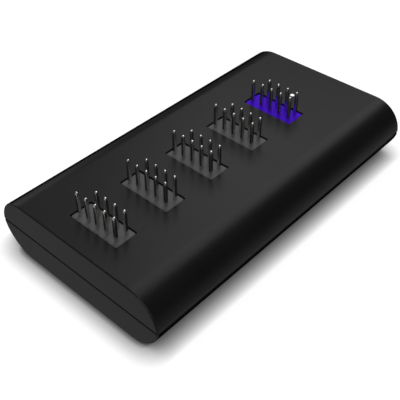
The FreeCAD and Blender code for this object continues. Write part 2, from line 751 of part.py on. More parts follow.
def make_chip_passives():
    first_y = f"({minus(COMPONENT_Y)} - {(PASSIVE_ROWS - 1) / 2} * {size('passive_spacing')})"
    body = new_body("chip_passives", x=header_x(0), y=first_y, z=BOARD_UNDERSIDE)
    outline = new_sketch(body, "outline")
    add_centred_rectangle(outline, f"({size('passive_length')} / 2)", f"({size('passive_width')} / 2)")
    chip = pad(body, outline, "chip", size("passive_height"), reverse=True)
    rows = ("Y_Axis", size("passive_spacing"), PASSIVE_ROWS)
    repeat(body, [chip], "chips", "X_Axis", size("header_pitch"), PORT_COUNT, second=rows)
    return body


def make_case_screws():
    """Self-tapping screws from the underside, with a cross in the head."""
    body = new_body("case_screws", x=NEAR_POST_X, y=minus(POST_Y), z=size("screw_seat_depth"))
    head = f"({size('screw_head_diameter')} / 2)"
    shank = f"({size('screw_diameter')} / 2)"
    bevel = size("screw_head_bevel")
    length = (
        f"({size('case_height')} - {size('screw_roof')} - {size('screw_end_gap')}"
        f" - {size('screw_seat_depth')})"
    )
    profile = new_sketch(body, "profile", "XZ_Plane")
    add_polygon(profile, [
        ("0", minus(size("screw_head_height"))),
        (f"{head} - {bevel}", minus(size("screw_head_height"))),
        (head, f"{bevel} - {size('screw_head_height')}"),
        (head, "0"),
        (shank, "0"),
        (shank, length),
        ("0", length),
    ])
    turned = revolve(body, profile, "turned")
    cross = new_sketch(body, "cross_sketch", offset=minus(size("screw_head_height")))
    long_half = f"({size('screw_slot_length')} / 2)"
    short_half = f"({size('screw_slot_width')} / 2)"
    add_polygon(cross, [
        (long_half, minus(short_half)),
        (long_half, short_half),
        (short_half, short_half),
        (short_half, long_half),
        (minus(short_half), long_half),
        (minus(short_half), short_half),
        (minus(long_half), short_half),
        (minus(long_half), minus(short_half)),
        (minus(short_half), minus(short_half)),
        (minus(short_half), minus(long_half)),
        (short_half, minus(long_half)),
        (short_half, minus(short_half)),
    ])
    recess = pocket(body, cross, "recess", size("screw_slot_depth"), reverse=True)
    columns = ("Y_Axis", f"2 * {POST_Y}", 2)
    repeat(body, [turned, recess], "screws", "X_Axis", f"{FAR_POST_X} - {NEAR_POST_X}", 2, second=columns)
    return body


def make_case_magnets():
    body = new_body("case_magnets", x=NEAR_MAGNET_X, z=size("magnet_floor"))
    outline = new_sketch(body, "outline")
    add_circle(outline, "0", "0", size("magnet_diameter"))
    disc = pad(body, outline, "disc", size("magnet_height"))
    repeat(body, [disc], "discs", "X_Axis", MAGNET_SPACING, 2)
    return body


def make_sub_parts():
    sub_parts = [make_top_cover(), make_bottom_cover(), make_circuit_board()]
    for index in range(PORT_COUNT):
        sub_parts.append(make_header_base(f"port_header_base_{index + 1}", index))
        sub_parts.append(make_header_pins(f"port_header_pins_{index + 1}", index))
    sub_parts.append(make_header_base("input_header_base", PORT_COUNT))
    sub_parts.append(make_header_pins("input_header_pins", PORT_COUNT))
    sub_parts += [make_inlet_housing(), make_inlet_contacts()]
    sub_parts += [make_status_light_guide(), make_status_lamp()]
    for number in (1, 2):
        sub_parts.append(make_hub_controller(number))
        sub_parts.append(make_clock_crystal(number))
    sub_parts += [make_bulk_capacitors(), make_port_fuses(), make_chip_passives()]
    sub_parts += [make_case_screws(), make_case_magnets()]
    return sub_parts


def write_parts(sub_parts):
    failed = [item.Name for item in doc.Objects if {"Invalid", "Error"} & set(item.State)]
    failed += [item.Label for item in sub_parts if item.Shape.isNull() or not item.Shape.isValid()]
    if failed:
        raise RuntimeError("not built: " + ", ".join(failed))
    os.makedirs("parts", exist_ok=True)
    for item in sub_parts:
        item.Shape.exportStep(f"parts/{item.Label}.step")
        print(item.Label, len(item.Shape.Solids), round(item.Shape.Volume, 3))


all_sub_parts = make_sub_parts()
doc.recompute()
write_parts(all_sub_parts)
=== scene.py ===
import math
import random

import bmesh
import bpy
from mathutils import Matrix, Vector


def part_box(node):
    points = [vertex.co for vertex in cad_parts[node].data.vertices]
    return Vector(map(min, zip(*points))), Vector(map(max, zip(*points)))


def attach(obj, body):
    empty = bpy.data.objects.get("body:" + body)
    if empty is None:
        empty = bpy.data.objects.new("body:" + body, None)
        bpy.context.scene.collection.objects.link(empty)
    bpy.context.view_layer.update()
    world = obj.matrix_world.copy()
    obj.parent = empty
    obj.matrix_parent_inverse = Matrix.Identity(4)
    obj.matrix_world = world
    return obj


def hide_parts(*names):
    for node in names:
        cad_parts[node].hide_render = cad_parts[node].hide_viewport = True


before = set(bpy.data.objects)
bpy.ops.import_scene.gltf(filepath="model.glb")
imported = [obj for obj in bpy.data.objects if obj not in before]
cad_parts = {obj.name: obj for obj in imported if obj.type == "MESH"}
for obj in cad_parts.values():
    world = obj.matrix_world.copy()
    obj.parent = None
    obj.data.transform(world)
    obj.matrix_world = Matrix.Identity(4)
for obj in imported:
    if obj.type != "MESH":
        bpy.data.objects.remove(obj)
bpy.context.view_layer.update()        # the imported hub, in metres, X along the case and Z up

MM = 0.001
TOUCH = 1e-6
SLICE_TOLERANCE = TOUCH / 10
FACING = 0.9
SMOOTH_ANGLE = math.radians(35)

# Segments of the roundings
SIDE_SEGMENTS = 12
EDGE_SEGMENTS = 5
FINE_SEGMENTS = 3
TIP_SEGMENTS = 4
CHAMFER_SEGMENTS = 1
ROUND_SIDES = 48
ROUND_PROFILE = 0.5

# Covers
SEAM_GAP = 0.25 * MM
SIDE_WALL = 1.8 * MM
END_WALL = 2.0 * MM
LOWER_SIDE_RADIUS = 7.5 * MM
END_EDGE_LEVEL = 0.25 * MM
END_EDGE_UPRIGHT = 0.4 * MM
LIP_THICKNESS = 0.8 * MM
LIP_HEIGHT = 1.3 * MM
LIP_CLEARANCE = 0.1 * MM
WINDOW_CLEARANCE = 0.15 * MM
WINDOW_CORNER = 0.2 * MM
WINDOW_RIM = 0.1 * MM
SEAM_EDGE_SIDES = 0.3 * MM
SEAM_EDGE_ENDS = 0.1 * MM
SHADOW_LINE_DEPTH = 0.42 * MM
SHADOW_LINE_HEIGHT = 1.0 * MM

# Screw posts, magnet wells and the opening for the inlet
POST_RADIUS = 3.0 * MM
SPIGOT_RADIUS = 1.95 * MM
SPIGOT_CLEARANCE = 0.2 * MM
SCREW_RADIUS = 1.1 * MM
SCREW_CLEARANCE = 0.2 * MM
SCREW_ROOF = 1.5 * MM
HEAD_SEAT_RADIUS = 2.3 * MM
HEAD_SEAT_DEPTH = 2.4 * MM
WELL_WALL = 1.0 * MM
WELL_HEIGHT = 1.5 * MM
MAGNET_CLEARANCE = 0.1 * MM
INLET_CLEARANCE = 0.2 * MM

# Pin headers
COLUMNS = 5
NOTCH = 0.26 * MM
BASE_EDGE = 0.09 * MM
PIN_WIDTH = 0.64 * MM
PIN_EDGE = 0.06 * MM
PIN_TIP_LENGTH = 0.85 * MM
PIN_TIP_WIDTH = 0.3 * MM
PIN_TIP_ROUND = 0.03 * MM
PIN_TWIST = math.radians(2.5)
PIN_SEED = 7

# Status light
LIGHT_RADIUS = 0.55 * MM
LIGHT_CLEARANCE = 0.05 * MM
LIGHT_RISE = 0.1 * MM
LIGHT_EDGE = 0.3 * MM

# Power inlet
INLET_BLOCK = 3.0 * MM
GUIDE_THICKNESS = 1.4 * MM
GUIDE_GAP = 1.0 * MM
TONGUE_THICKNESS = 1.25 * MM
TONGUE_SETBACK = 0.6 * MM
KEY_WIDTH = 1.1 * MM
KEY_HEIGHT = 1.2 * MM
INLET_EDGE = 0.15 * MM
CONTACT_COUNT = 15
CONTACT_WIDTH = 0.84 * MM
CONTACT_THICKNESS = 0.2 * MM
CONTACT_EDGE = 0.06 * MM

# Screws
SCREW_HEAD_CLEARANCE = 0.3 * MM
SCREW_HEAD_HEIGHT = 1.4 * MM
SCREW_HEAD_BEVEL = 0.45 * MM
SCREW_POINT = 0.8 * MM
SCREW_POINT_TAPER = 0.5
CROSS_LENGTH = 2.4 * MM
CROSS_WIDTH = 0.6 * MM
CROSS_DEPTH = 0.7 * MM

PORT_HEADERS = [f"port_header_base_{number}" for number in range(1, 5)]
HEADERS = PORT_HEADERS + ["input_header_base"]


# Modelling steps

def settle(name):
    """Names the new object and puts its place into its mesh."""
    bpy.ops.object.transform_apply(location=True, rotation=True, scale=True)
    piece = bpy.context.object
    piece.name = name
    piece.data.name = name
    return piece


def add_block(name, low, high):
    """A block between two opposite corners."""
    bpy.ops.object.select_all(action="DESELECT")
    bpy.ops.mesh.primitive_cube_add(size=1, location=(low + high) / 2, scale=high - low)
    return settle(name)


def add_rod(name, x, y, low_z, high_z, radius):
    """An upright rod between two levels."""
    bpy.ops.object.select_all(action="DESELECT")
    bpy.ops.mesh.primitive_cylinder_add(
        vertices=ROUND_SIDES, radius=radius, depth=high_z - low_z, location=(x, y, (low_z + high_z) / 2)
    )
    return settle(name)


def make_active(piece):
    bpy.ops.object.select_all(action="DESELECT")
    piece.select_set(True)
    bpy.context.view_layer.objects.active = piece


def start_editing(piece):
    make_active(piece)
    bpy.ops.object.mode_set(mode="EDIT")


def stop_editing():
    bpy.ops.object.mode_set(mode="OBJECT")


def select_faces(piece, test):
    """Selects the faces whose middle and normal pass the test."""
    bpy.ops.mesh.select_mode(type="FACE")
    bpy.ops.mesh.select_all(action="DESELECT")
    mesh = bmesh.from_edit_mesh(piece.data)
    for face in mesh.faces:
        face.select_set(test(face.calc_center_median(), face.normal))
    bmesh.update_edit_mesh(piece.data)


def select_edges(piece, test):
    """Selects the edges whose two end points pass the test."""
    bpy.ops.mesh.select_mode(type="EDGE")
    bpy.ops.mesh.select_all(action="DESELECT")
    mesh = bmesh.from_edit_mesh(piece.data)
    for edge in mesh.edges:
        edge.select_set(test(edge.verts[0].co, edge.verts[1].co))
    bmesh.update_edit_mesh(piece.data)


def select_points(piece, test):
    """Selects the points whose place passes the test."""
    bpy.ops.mesh.select_mode(type="VERT")
    bpy.ops.mesh.select_all(action="DESELECT")
    mesh = bmesh.from_edit_mesh(piece.data)
    for point in mesh.verts:
        point.select_set(test(point.co))
    bmesh.update_edit_mesh(piece.data)


def near(a, b):
    return abs(a - b) < TOUCH


def round_selected(radius, segments):
    bpy.ops.mesh.bevel(
        offset=radius, segments=segments, profile=ROUND_PROFILE, affect="EDGES", clamp_overlap=False
    )


def round_by_share(piece, radius, segments, share):
    """Rounds edges with a changing radius: share gives the part of it that an edge gets."""
    start_editing(piece)
    mesh = bmesh.from_edit_mesh(piece.data)
    layers = mesh.edges.layers.float
    weight = layers.get("bevel_weight_edge") or layers.new("bevel_weight_edge")
    for edge in mesh.edges:
        edge[weight] = share(edge.verts[0].co, edge.verts[1].co)
    bmesh.update_edit_mesh(piece.data)
    stop_editing()
    rounding = piece.modifiers.new("rounding", "BEVEL")
    rounding.limit_method = "WEIGHT"
    rounding.width = radius
    rounding.segments = segments
    rounding.use_clamp_overlap = False
    bpy.ops.object.modifier_apply(modifier=rounding.name)


def slice_selected(axis, place):
    """Cuts the selected faces along a plane across the axis."""
    bpy.ops.mesh.bisect(plane_co=axis * place, plane_no=axis, threshold=SLICE_TOLERANCE)


def push_selected(way):
    """Pushes the selected faces out along the way, with new walls behind them."""
    bpy.ops.mesh.extrude_region_move(TRANSFORM_OT_translate={"value": way})


def combine(piece, tool, operation):
    """Cuts the tool shape out of the piece, or welds it on, and removes the tool shape."""
    modifier = piece.modifiers.new("shape", "BOOLEAN")
    modifier.operation = operation
    modifier.solver = "EXACT"
    modifier.object = tool
    make_active(piece)
    bpy.ops.object.modifier_apply(modifier=modifier.name)
    bpy.data.objects.remove(tool)


def cut(piece, tool):
    combine(piece, tool, "DIFFERENCE")


def weld(piece, tool):
    combine(piece, tool, "UNION")


def join(pieces, name):
    """Makes one piece of several."""
    bpy.ops.object.select_all(action="DESELECT")
    for piece in pieces:
        piece.select_set(True)
    bpy.context.view_layer.objects.active = pieces[0]
    bpy.ops.object.join()
    whole = bpy.context.object
    whole.name = name
    whole.data.name = name
    return whole


def copy_to(piece, place, twist=0.0):
    """A copy with its own mesh, turned about its own upright axis and moved to its place."""
    twin = piece.copy()
    twin.data = piece.data.copy()
    twin.data.transform(Matrix.Translation(place) @ Matrix.Rotation(twist, 4, "Z"))
    bpy.context.scene.collection.objects.link(twin)
    return twin


def finish_piece(piece, material, slot, *nodes):
    """Shades a piece, gives it its material and puts it in the place of its CAD nodes."""
    make_active(piece)
    bpy.ops.object.shade_smooth_by_angle(angle=SMOOTH_ANGLE)
    flatten = piece.modifiers.new("flat_faces", "WEIGHTED_NORMAL")
    flatten.keep_sharp = True
    bpy.ops.object.modifier_apply(modifier=flatten.name)
    piece.data.materials.clear()
    piece.data.materials.append(material)
    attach(piece, "root")
    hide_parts(*nodes)


# Places taken from the frame

top_low, top_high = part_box("top_cover")
board_low, board_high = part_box("circuit_board")
inlet_low, inlet_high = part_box("power_inlet_housing")
contact_low, contact_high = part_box("power_inlet_contacts")
screw_low, screw_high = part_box("case_screws")
magnet_low, magnet_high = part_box("case_magnets")
light_low, light_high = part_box("status_light_guide")
HALF_LENGTH = top_high.x
PARTING = top_low.z - SEAM_GAP
UPPER_RADIUS = top_high.z - PARTING
HALF_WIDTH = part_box("bottom_cover")[1].y
CAVITY_X = HALF_LENGTH - END_WALL
CAVITY_Y = HALF_WIDTH - SIDE_WALL
LOWER_CENTRE_Y = HALF_WIDTH - math.sqrt(2 * LOWER_SIDE_RADIUS * PARTING - PARTING ** 2)
SCREW_HEAD_RADIUS = HEAD_SEAT_RADIUS - SCREW_HEAD_CLEARANCE
POST_X = (screw_low.x + SCREW_HEAD_RADIUS, screw_high.x - SCREW_HEAD_RADIUS)
POST_Y = screw_high.y - SCREW_HEAD_RADIUS
POSTS = [(x, y) for x in POST_X for y in (-POST_Y, POST_Y)]
LIGHT_X = (light_low.x + light_high.x) / 2
MAGNET_RADIUS = magnet_high.y
MAGNET_X = (magnet_low.x + MAGNET_RADIUS, magnet_high.x - MAGNET_RADIUS)
ALONG = Vector((1, 0, 0))
ACROSS = Vector((0, 1, 0))
UP = Vector((0, 0, 1))


# Covers

def add_round_sided_bar(name, half_x, half_y, flat_z, radius, cut_z):
    """A bar whose long edges at the flat face are rounded, cut off level at the other face."""
    rise = math.copysign(1, flat_z - cut_z)
    spare_z = flat_z - rise * (radius + MM)
    low = Vector((-half_x, -half_y, min(flat_z, spare_z)))
    high = Vector((half_x, half_y, max(flat_z, spare_z)))
    bar = add_block(name, low, high)
    start_editing(bar)
    select_edges(bar, lambda a, b: near(a.z, flat_z) and near(b.z, flat_z) and near(a.y, b.y))
    round_selected(radius, SIDE_SEGMENTS)
    bpy.ops.mesh.select_all(action="SELECT")
    bpy.ops.mesh.bisect(
        plane_co=UP * cut_z, plane_no=UP * rise, use_fill=True, clear_inner=True, threshold=SLICE_TOLERANCE
    )
    stop_editing()
    return bar


def round_end_edges(cover, cut_z):
    """Rounds the outline of both end faces, least along its level edges and not at all at the seam."""
    least = END_EDGE_LEVEL / END_EDGE_UPRIGHT

    def share(a, b):
        at_seam = near(a.z, cut_z) and near(b.z, cut_z)
        if at_seam or not (near(abs(a.x), HALF_LENGTH) and near(a.x, b.x)):
            return 0
        return least + (1 - least) * abs(a.z - b.z) / (a - b).length

    round_by_share(cover, END_EDGE_UPRIGHT, EDGE_SEGMENTS, share)


def round_seam_edge(cover, cut_z):
    """Rounds the outer edge of the face that meets the other cover, least at the ends."""
    least = SEAM_EDGE_ENDS / SEAM_EDGE_SIDES

    def share(a, b):
        if not (near(a.z, cut_z) and near(b.z, cut_z)):
            return 0
        return least + (1 - least) * abs(a.x - b.x) / (a - b).length

    round_by_share(cover, SEAM_EDGE_SIDES, FINE_SEGMENTS, share)


def cut_shadow_line(cover):
    """A step along both long sides below the seam, which stops short of the ends."""
    half_x = HALF_LENGTH - SHADOW_LINE_DEPTH
    inner_y = HALF_WIDTH - SHADOW_LINE_DEPTH
    outer_y = HALF_WIDTH + MM
    foot = PARTING - SHADOW_LINE_HEIGHT
    for near_y, far_y in ((-outer_y, -inner_y), (inner_y, outer_y)):
        cut(cover, add_block("step", Vector((-half_x, near_y, foot)), Vector((half_x, far_y, PARTING + MM))))


def add_inlet_cutter():
    """The room that both covers leave for the inlet in the far end."""
    margin = Vector((0, INLET_CLEARANCE, INLET_CLEARANCE))
    low = Vector((CAVITY_X - END_WALL, inlet_low.y, inlet_low.z)) - margin
    high = Vector((HALF_LENGTH + MM, inlet_high.y, inlet_high.z)) + margin
    return add_block("inlet_cutter", low, high)


def add_window_cutter(node):
    """A box round a header, with its upright corners rounded."""
    low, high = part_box(node)
    margin = Vector((WINDOW_CLEARANCE, WINDOW_CLEARANCE, MM))
    cutter = add_block("window_cutter", low - margin, high + margin)
    start_editing(cutter)
    select_edges(cutter, lambda a, b: near(a.x, b.x) and near(a.y, b.y))
    round_selected(WINDOW_CORNER, EDGE_SEGMENTS)
    stop_editing()
    return cutter


def soften_window_rims(cover):
    """A small radius where the windows break through the top face."""
    margin = 2 * WINDOW_CLEARANCE
    reach_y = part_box(HEADERS[0])[1].y + margin
    window_boxes = [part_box(node) for node in HEADERS]

    def beside_window(point):
        return abs(point.y) < reach_y and any(
            low.x - margin < point.x < high.x + margin for low, high in window_boxes
        )

    start_editing(cover)
    select_edges(cover, lambda a, b: (
        near(a.z, top_high.z) and near(b.z, top_high.z) and beside_window(a) and beside_window(b)
    ))
    round_selected(WINDOW_RIM, FINE_SEGMENTS)
    stop_editing()


def model_top_cover(material):
    """The upper shell, with the header windows, the light hole and the screw bosses."""
    cover = add_round_sided_bar("top_shell", HALF_LENGTH, HALF_WIDTH, top_high.z, UPPER_RADIUS, top_low.z)
    round_end_edges(cover, top_low.z)
    round_seam_edge(cover, top_low.z)
    inside = UPPER_RADIUS - SIDE_WALL
    cut(cover, add_round_sided_bar("cavity", CAVITY_X, CAVITY_Y, top_high.z - SIDE_WALL, inside, PARTING))
    rebate = LIP_THICKNESS + LIP_CLEARANCE
    rebate_low = Vector((-CAVITY_X - rebate, -CAVITY_Y - rebate, PARTING - MM))
    rebate_high = Vector((CAVITY_X + rebate, CAVITY_Y + rebate, PARTING + LIP_HEIGHT))
    cut(cover, add_block("rebate", rebate_low, rebate_high))
    for node in HEADERS:
        cut(cover, add_window_cutter(node))
    soften_window_rims(cover)
    light_bore = LIGHT_RADIUS + LIGHT_CLEARANCE
    cut(cover, add_rod("light_hole", LIGHT_X, 0, top_high.z - SIDE_WALL - MM, top_high.z + MM, light_bore))
    spigot_end = board_low.z + SPIGOT_CLEARANCE
    for x, y in POSTS:
        weld(cover, add_rod("boss", x, y, board_high.z, top_high.z - SIDE_WALL / 2, POST_RADIUS))
        weld(cover, add_rod("spigot", x, y, spigot_end, board_high.z + MM, SPIGOT_RADIUS))
        cut(cover, add_rod("pilot", x, y, spigot_end - MM, top_high.z - SCREW_ROOF, SCREW_RADIUS))
    cut(cover, add_inlet_cutter())
    finish_piece(cover, material, "case_plastic", "top_cover")


def add_lip():
    """The ring that stands up behind the seam and locates the top cover."""
    outer = Vector((CAVITY_X + LIP_THICKNESS, CAVITY_Y + LIP_THICKNESS, PARTING + LIP_HEIGHT))
    inner = Vector((CAVITY_X, CAVITY_Y, outer.z + MM))
    lip = add_block("lip", Vector((-outer.x, -outer.y, PARTING - LIP_CLEARANCE)), outer)
    cut(lip, add_block("lip_bore", Vector((-inner.x, -inner.y, PARTING - MM)), inner))
    return lip


def model_bottom_cover(material):
    """The lower shell, with the lip, the magnet wells and the posts below the board."""
    half_width = LOWER_CENTRE_Y + LOWER_SIDE_RADIUS
    cover = add_round_sided_bar("bottom_shell", HALF_LENGTH, half_width, 0, LOWER_SIDE_RADIUS, PARTING)
    round_end_edges(cover, PARTING)
    round_seam_edge(cover, PARTING)
    cut_shadow_line(cover)
    inside = LOWER_SIDE_RADIUS - SIDE_WALL
    inside_y = half_width - SIDE_WALL
    cut(cover, add_round_sided_bar("cavity", CAVITY_X, inside_y, SIDE_WALL, inside, PARTING + MM))
    weld(cover, add_lip())
    well_top = SIDE_WALL + WELL_HEIGHT
    well_radius = MAGNET_RADIUS + MAGNET_CLEARANCE
    for x in MAGNET_X:
        weld(cover, add_rod("well_wall", x, 0, SIDE_WALL / 2, well_top, well_radius + WELL_WALL))
        cut(cover, add_rod("well", x, 0, magnet_low.z, well_top + MM, well_radius))
    for x, y in POSTS:
        weld(cover, add_rod("post", x, y, SIDE_WALL / 2, board_low.z, POST_RADIUS))
        cut(cover, add_rod("screw_hole", x, y, -MM, board_low.z + MM, SCREW_RADIUS + SCREW_CLEARANCE))
        cut(cover, add_rod("head_seat", x, y, -MM, HEAD_SEAT_DEPTH, HEAD_SEAT_RADIUS))
    cut(cover, add_inlet_cutter())
    finish_piece(cover, material, "case_plastic", "bottom_cover")


# Pin headers

def model_pin(low_z, high_z):
    """One square pin at the origin, tapered at both ends with a domed tip."""
    half = PIN_WIDTH / 2
    low = Vector((-half, -half, low_z + PIN_TIP_LENGTH))
    high = Vector((half, half, high_z - PIN_TIP_LENGTH))
    pin = add_block("pin", low, high)
    start_editing(pin)
    select_edges(pin, lambda a, b: near(a.x, b.x) and near(a.y, b.y))
    round_selected(PIN_EDGE, FINE_SEGMENTS)
    taper = PIN_TIP_WIDTH / PIN_WIDTH
    for end in (1, -1):
        select_faces(pin, lambda middle, normal: normal.z * end > FACING)
        push_selected(UP * end * PIN_TIP_LENGTH)
        bpy.ops.transform.resize(value=(taper, taper, 1), center_override=(0, 0, 0))
    select_edges(pin, lambda a, b: near(a.z, b.z) and (near(a.z, low_z) or near(a.z, high_z)))
    round_selected(PIN_TIP_ROUND, TIP_SEGMENTS)
    stop_editing()
    return pin


def pin_places(node):
    """Where a header's pins stand: the far row lacks the last one, as a key."""
    low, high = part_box(node)
    pitch = (high.y - low.y) / COLUMNS
    middle = (low.x + high.x) / 2
    rows = ((middle - pitch / 2, COLUMNS), (middle + pitch / 2, COLUMNS - 1))
    return [Vector((x, low.y + (column + 0.5) * pitch, 0)) for x, count in rows for column in range(count)]


def model_header_base(name, node):
    """An insulator bar with a notch in its long sides between the pairs of pins."""
    low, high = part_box(node)
    pitch = (high.y - low.y) / COLUMNS
    borders = [low.y + column * pitch for column in range(1, COLUMNS)]
    base = add_block(name, low, high)
    start_editing(base)
    for border in borders:
        for place in (border - NOTCH, border, border + NOTCH):
            bpy.ops.mesh.select_all(action="SELECT")
            slice_selected(ACROSS, place)
    for side, inward in ((low.x, NOTCH), (high.x, -NOTCH)):
        select_points(base, lambda point: near(point.x, side) and any(near(point.y, y) for y in borders))
        bpy.ops.transform.translate(value=(inward, 0, 0))
    ends = (low.y, high.y)
    select_edges(base, lambda a, b: near(a.x, b.x) and near(a.y, b.y) and any(near(a.y, y) for y in ends))
    round_selected(NOTCH, CHAMFER_SEGMENTS)
    select_faces(base, lambda middle, normal: normal.z > FACING)
    bpy.ops.mesh.region_to_loop()
    round_selected(BASE_EDGE, FINE_SEGMENTS)
    stop_editing()
    return base


def model_headers(insulators, metal):
    """Each header's insulator with its pins pressed through it."""
    pins_low, pins_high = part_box("input_header_pins")
    pin = model_pin(pins_low.z, pins_high.z)
    twist = random.Random(PIN_SEED)
    for base_node in HEADERS:
        pins_node = base_node.replace("base", "pins")
        header = base_node.replace("_base", "")
        pins = [
            copy_to(pin, place, twist.uniform(-PIN_TWIST, PIN_TWIST)) for place in pin_places(base_node)
        ]
        pin_set = join(pins, f"{header}_pin_set")
        base = model_header_base(f"{header}_insulator", base_node)
        cut(base, copy_to(pin_set, Vector()))
        slot = "purple_insulator" if header == "input_header" else "grey_insulator"
        finish_piece(base, insulators[slot], slot, base_node)
        finish_piece(pin_set, metal, "pin_metal", pins_node)
    bpy.data.objects.remove(pin)


# Power inlet

def model_contacts(material):
    """Flat contacts along the tongue, each with a leg up to the board."""
    pitch = (contact_high.y - contact_low.y - CONTACT_WIDTH) / (CONTACT_COUNT - 1)
    half = CONTACT_WIDTH / 2
    low = Vector((contact_low.x, -half, contact_low.z))
    high = Vector((contact_high.x, half, contact_low.z + CONTACT_THICKNESS))
    strip = add_block("contact", low, high)
    start_editing(strip)
    bpy.ops.mesh.select_all(action="SELECT")
    slice_selected(ALONG, low.x + CONTACT_THICKNESS)
    select_faces(strip, lambda middle, normal: normal.z > FACING and middle.x < low.x + CONTACT_THICKNESS)
    push_selected(UP * (contact_high.z - high.z))
    select_edges(strip, lambda a, b: near(a.x, high.x) and near(b.x, high.x))
    round_selected(CONTACT_EDGE, FINE_SEGMENTS)
    stop_editing()
    places = [Vector((0, (index - (CONTACT_COUNT - 1) / 2) * pitch, 0)) for index in range(CONTACT_COUNT)]
    contacts = join([copy_to(strip, place) for place in places], "inlet_contact_set")
    bpy.data.objects.remove(strip)
    finish_piece(contacts, material, "contact_metal", "power_inlet_contacts")
    return contacts


def model_inlet(material, contacts):
    """A rear block with a guide at each side and a keyed tongue, pushed out of its front face."""
    guide_y = inlet_high.y - GUIDE_THICKNESS
    tongue_y = guide_y - GUIDE_GAP
    tongue_top = contact_low.z
    tongue_foot = tongue_top - TONGUE_THICKNESS
    key_y = tongue_y - KEY_WIDTH
    key_foot = tongue_foot - KEY_HEIGHT
    front_x = inlet_low.x + INLET_BLOCK
    reach = inlet_high.x - front_x
    housing = add_block("inlet_housing", inlet_low.copy(), Vector((front_x, inlet_high.y, inlet_high.z)))

    def on_front(normal):
        return normal.x > FACING

    def on_tongue(middle):
        on_bar = tongue_foot < middle.z < tongue_top
        on_key = middle.y > key_y and key_foot < middle.z < tongue_top
        return abs(middle.y) < tongue_y and (on_bar or on_key)

    start_editing(housing)
    for axis, places in ((ACROSS, (-guide_y, -tongue_y, key_y, tongue_y, guide_y)),
                         (UP, (key_foot, tongue_foot, tongue_top))):
        for place in places:
            select_faces(housing, lambda middle, normal: on_front(normal))
            slice_selected(axis, place)
    select_faces(housing, lambda middle, normal: on_front(normal) and abs(middle.y) > guide_y)
    push_selected(ALONG * reach)
    select_faces(housing, lambda middle, normal: (
        on_front(normal) and near(middle.x, front_x) and on_tongue(middle)
    ))
    push_selected(ALONG * (reach - TONGUE_SETBACK))
    select_faces(housing, lambda middle, normal: on_front(normal) and middle.x > front_x + TOUCH)
    bpy.ops.mesh.region_to_loop()
    round_selected(INLET_EDGE, FINE_SEGMENTS)
    stop_editing()
    cut(housing, copy_to(contacts, Vector()))
    finish_piece(housing, material, "inlet_plastic", "power_inlet_housing")


# Status light

def model_light_guide(material):
    """A milky plug through the top wall, with a domed end and a flange against the ceiling."""
    ceiling = top_high.z - SIDE_WALL
    flange_radius = light_high.y
    plug = add_rod("light_plug", LIGHT_X, 0, light_low.z, ceiling, flange_radius)
    start_editing(plug)
    select_faces(plug, lambda middle, normal: normal.z > FACING)
    bpy.ops.mesh.inset(thickness=flange_radius - LIGHT_RADIUS)
    crown = light_high.z + LIGHT_RISE
    push_selected(UP * (crown - ceiling))
    select_edges(plug, lambda a, b: near(a.z, crown) and near(b.z, crown))
    round_selected(LIGHT_EDGE, EDGE_SEGMENTS)
    stop_editing()
    finish_piece(plug, material, "light_guide_resin", "status_light_guide")


# Screws

def model_screws(material):
    """Self-tapping screws, head down in their seats, with a cross in the head."""
    head_low = screw_low.z
    head_high = head_low + SCREW_HEAD_HEIGHT
    screw = add_rod("screw", 0, 0, head_low, head_high, SCREW_HEAD_RADIUS)
    start_editing(screw)
    select_faces(screw, lambda middle, normal: normal.z > FACING)
    bpy.ops.mesh.inset(thickness=SCREW_HEAD_RADIUS - SCREW_RADIUS)
    push_selected(UP * (screw_high.z - SCREW_POINT - head_high))
    push_selected(UP * SCREW_POINT)
    bpy.ops.transform.resize(value=(SCREW_POINT_TAPER, SCREW_POINT_TAPER, 1), center_override=(0, 0, 0))
    select_edges(screw, lambda a, b: near(a.z, head_low) and near(b.z, head_low))
    round_selected(SCREW_HEAD_BEVEL, EDGE_SEGMENTS)
    stop_editing()
    long_half, short_half = CROSS_LENGTH / 2, CROSS_WIDTH / 2
    for half_x, half_y in ((long_half, short_half), (short_half, long_half)):
        corner = Vector((half_x, half_y, 0))
        cut(screw, add_block("cross", UP * (head_low - MM) - corner, UP * (head_low + CROSS_DEPTH) + corner))
    screws = join([copy_to(screw, Vector((x, y, 0))) for x, y in POSTS], "cover_screws")
    bpy.data.objects.remove(screw)
    finish_piece(screws, material, "screw_steel", "case_screws")


# Shared surface effects

GRAIN_DETAIL = 3.0
SOFT_DETAIL = 2.0
NOISE_MIDDLE = 0.5
DRIFT_SCALE = 90.0
CLOUD_SCALE = 700.0
MARK_STRETCH = (1, 1, 0.06)


def new_group(name, inputs, outputs):
    """A shader node group with its sockets, and its input, output and place nodes."""
    group = bpy.data.node_groups.new(name, "ShaderNodeTree")
    for socket, kind, value in inputs:
        group.interface.new_socket(socket, in_out="INPUT", socket_type=kind).default_value = value
    for socket, kind in outputs:
        group.interface.new_socket(socket, in_out="OUTPUT", socket_type=kind)
    given = group.nodes.new("NodeGroupInput")
    made = group.nodes.new("NodeGroupOutput")
    place = group.nodes.new("ShaderNodeTexCoord")
    return group, given, made, place


def add_noise(tree, place, scale, detail):
    """Noise on the object's own coordinates; the scale is a number or a socket, in cells a metre."""
    noise = tree.nodes.new("ShaderNodeTexNoise")
    noise.inputs["Detail"].default_value = detail
    tree.links.new(place, noise.inputs["Vector"])
    if isinstance(scale, (int, float)):
        noise.inputs["Scale"].default_value = scale
    else:
        tree.links.new(scale, noise.inputs["Scale"])
    return noise.outputs["Fac"]


def add_math(tree, operation, first, second):
    node = tree.nodes.new("ShaderNodeMath")
    node.operation = operation
    for value, socket in zip((first, second), node.inputs):
        if isinstance(value, (int, float)):
            socket.default_value = value
        else:
            tree.links.new(value, socket)
    return node.outputs[0]


def add_swing(tree, noise, spread):
    """How far a noise takes a value to either side of its mean."""
    return add_math(tree, "MULTIPLY", add_math(tree, "SUBTRACT", noise, NOISE_MIDDLE), spread)


